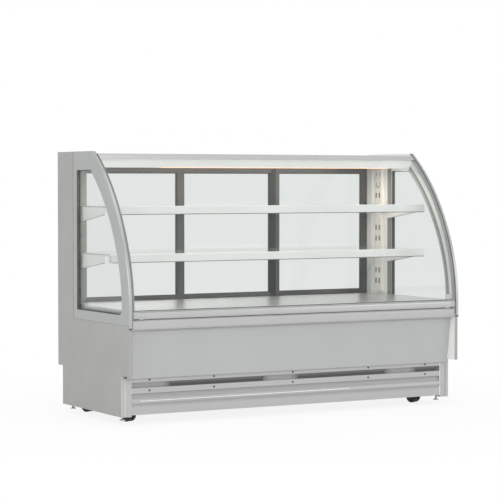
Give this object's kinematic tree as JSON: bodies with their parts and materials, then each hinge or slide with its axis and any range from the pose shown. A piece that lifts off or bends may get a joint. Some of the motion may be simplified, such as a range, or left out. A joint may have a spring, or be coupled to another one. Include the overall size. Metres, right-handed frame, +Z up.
{
  "type": "heated pastry display case",
  "caption": "Curved-front heated display case for pastries, with tilting front glass, glass shelves, sliding rear doors, lamp, kick grille and casters",
  "frame": {"origin": "on the floor under the middle of the case", "axes": "X to the right as seen by a customer, Y from the front to the staff side, Z up"},
  "size_m": [1.88, 0.822, 1.3],
  "materials": {
    "end_paint": "warm grey coat with a fine orange-peel texture",
    "silver_frame": "silver lacquer, satin",
    "bright_nose": "bright brushed along the curve",
    "white_liner": "white coat, half gloss",
    "glazing": "clear toughened glass",
    "black_rubber": "matt extruded rubber",
    "front_paint": "grey coat, half gloss",
    "ledge_profile": "grey extruded bumper, satin",
    "rail_grey": "light grey lacquer, satin",
    "frame_steel": "dark primer coat",
    "rear_steel": "grey coat",
    "mineral_wool": "matted mineral wool",
    "well_steel": "dull galvanised",
    "deck_steel": "brushed along the length",
    "white_enamel": "white coat, half gloss",
    "door_dark": "dark grey lacquer, satin",
    "lamp_opal": "opal diffuser",
    "led_board": "glossy strip with a row of lamps",
    "heater_sheath": "heat-tinted sheath",
    "screw_black": "blackened",
    "caster_black": "moulded black",
    "caster_tread": "hard black tread",
    "foot_zinc": "zinc plated",
    "fan_black": "moulded black",
    "control_grey": "grey coat",
    "switch_black": "polished black"
  },
  "bodies": {
    "case": {"base_frame": "frame_steel", "canopy": "rail_grey", "control_box": "control_grey", "deck_plates": "deck_steel", "door_header": "white_liner", "door_jambs": "white_liner", "door_sill": "rail_grey", "edge_trims": "bright_nose", "end_panel_left": "end_paint", "end_panel_right": "end_paint", "fan_housing": "fan_black", "frame_seals": "black_rubber", "front_ledge": "ledge_profile", "front_panel": "front_paint", "heating_elements": "heater_sheath", "hinge_knuckles": "rail_grey", "kick_corners": "front_paint", "kick_grille": "front_paint", "kick_screws": "screw_black", "lamp_diffuser": "lamp_opal", "lamp_housing": "white_enamel", "led_strips": "led_board", "power_inlet": "switch_black", "rear_panel": "rear_steel", "shelf_brackets": "white_enamel", "shelf_glass": "glazing", "shelf_noses": "white_enamel", "shelf_standards": "white_enamel", "side_frame_left": "silver_frame", "side_frame_right": "silver_frame", "side_glass_left": "glazing", "side_glass_right": "glazing", "side_liners": "white_liner", "well_insulation": "mineral_wool", "well_pan": "well_steel"},
    "front_glass": {"front_glass": "glazing", "glass_bottom_rail": "rail_grey", "glass_top_rail": "rail_grey"},
    "fan_rotor": {"fan_rotor": "fan_black"},
    "main_switch": {"main_switch": "switch_black"},
    "light_switch": {"light_switch": "switch_black"},
    "thermostat_knob": {"thermostat_knob": "switch_black"},
    "door_left": {"door_frame_left": "door_dark", "door_glass_left": "glazing"},
    "door_center": {"door_frame_center": "door_dark", "door_glass_center": "glazing"},
    "door_right": {"door_frame_right": "door_dark", "door_glass_right": "glazing"},
    "caster_fork_front_left": {"caster_fork_front_left": "caster_black"},
    "caster_wheel_front_left": {"caster_wheel_front_left": "caster_tread"},
    "levelling_foot_front_left": {"levelling_foot_front_left": "foot_zinc"},
    "caster_fork_rear_left": {"caster_fork_rear_left": "caster_black"},
    "caster_wheel_rear_left": {"caster_wheel_rear_left": "caster_tread"},
    "levelling_foot_rear_left": {"levelling_foot_rear_left": "foot_zinc"},
    "caster_fork_front_right": {"caster_fork_front_right": "caster_black"},
    "caster_wheel_front_right": {"caster_wheel_front_right": "caster_tread"},
    "levelling_foot_front_right": {"levelling_foot_front_right": "foot_zinc"},
    "caster_fork_rear_right": {"caster_fork_rear_right": "caster_black"},
    "caster_wheel_rear_right": {"caster_wheel_rear_right": "caster_tread"},
    "levelling_foot_rear_right": {"levelling_foot_rear_right": "foot_zinc"}
  },
  "joints": [
    {"name": "front_glass_tilt", "type": "hinge", "parent": "case", "child": "front_glass", "pos_m": [0, -0.402, 0.511], "axis": [1, 0, 0], "range_deg": [0, 50]},
    {"name": "door_left_slide", "type": "slide", "parent": "case", "child": "door_left", "axis": [1, 0, 0], "range_m": [0, 1.151]},
    {"name": "door_center_slide", "type": "slide", "parent": "case", "child": "door_center", "axis": [1, 0, 0], "range_m": [-0.56, 0.591]},
    {"name": "door_right_slide", "type": "slide", "parent": "case", "child": "door_right", "axis": [1, 0, 0], "range_m": [-1.151, 0]},
    {"name": "fan_spin", "type": "hinge", "parent": "case", "child": "fan_rotor", "pos_m": [0, 0.279, 0.498], "axis": [1, 0, 0], "continuous": true},
    {"name": "thermostat_turn", "type": "hinge", "parent": "case", "child": "thermostat_knob", "pos_m": [0.765, 0.396, 0.165], "axis": [0, 1, 0], "range_deg": [0, 270]},
    {"name": "main_switch_tip", "type": "hinge", "parent": "case", "child": "main_switch", "pos_m": [0.645, 0.391, 0.165], "axis": [-1, 0, 0], "range_deg": [0, 16]},
    {"name": "light_switch_tip", "type": "hinge", "parent": "case", "child": "light_switch", "pos_m": [0.69, 0.391, 0.165], "axis": [-1, 0, 0], "range_deg": [0, 16]},
    {"name": "caster_swivel_front_left", "type": "hinge", "parent": "case", "child": "caster_fork_front_left", "pos_m": [-0.826, -0.198, 0.08], "axis": [0, 0, 1], "continuous": true},
    {"name": "caster_roll_front_left", "type": "hinge", "parent": "caster_fork_front_left", "child": "caster_wheel_front_left", "pos_m": [-0.83413, -0.17973, 0.03], "axis": [0.9135, 0.4067, 0], "continuous": true},
    {"name": "caster_swivel_rear_left", "type": "hinge", "parent": "case", "child": "caster_fork_rear_left", "pos_m": [-0.826, 0.257, 0.08], "axis": [0, 0, 1], "continuous": true},
    {"name": "caster_roll_rear_left", "type": "hinge", "parent": "caster_fork_rear_left", "child": "caster_wheel_rear_left", "pos_m": [-0.83413, 0.27527, 0.03], "axis": [0.9135, 0.4067, 0], "continuous": true},
    {"name": "caster_swivel_front_right", "type": "hinge", "parent": "case", "child": "caster_fork_front_right", "pos_m": [0.826, -0.198, 0.08], "axis": [0, 0, 1], "continuous": true},
    {"name": "caster_roll_front_right", "type": "hinge", "parent": "caster_fork_front_right", "child": "caster_wheel_front_right", "pos_m": [0.81787, -0.17973, 0.03], "axis": [0.9135, 0.4067, 0], "continuous": true},
    {"name": "caster_swivel_rear_right", "type": "hinge", "parent": "case", "child": "caster_fork_rear_right", "pos_m": [0.826, 0.257, 0.08], "axis": [0, 0, 1], "continuous": true},
    {"name": "caster_roll_rear_right", "type": "hinge", "parent": "caster_fork_rear_right", "child": "caster_wheel_rear_right", "pos_m": [0.81787, 0.27527, 0.03], "axis": [0.9135, 0.4067, 0], "continuous": true},
    {"name": "foot_screw_front_left", "type": "slide", "parent": "case", "child": "levelling_foot_front_left", "axis": [0, 0, 1], "range_m": [-0.015, 0.01]},
    {"name": "foot_screw_rear_left", "type": "slide", "parent": "case", "child": "levelling_foot_rear_left", "axis": [0, 0, 1], "range_m": [-0.015, 0.01]},
    {"name": "foot_screw_front_right", "type": "slide", "parent": "case", "child": "levelling_foot_front_right", "axis": [0, 0, 1], "range_m": [-0.015, 0.01]},
    {"name": "foot_screw_rear_right", "type": "slide", "parent": "case", "child": "levelling_foot_rear_right", "axis": [0, 0, 1], "range_m": [-0.015, 0.01]}
  ]
}
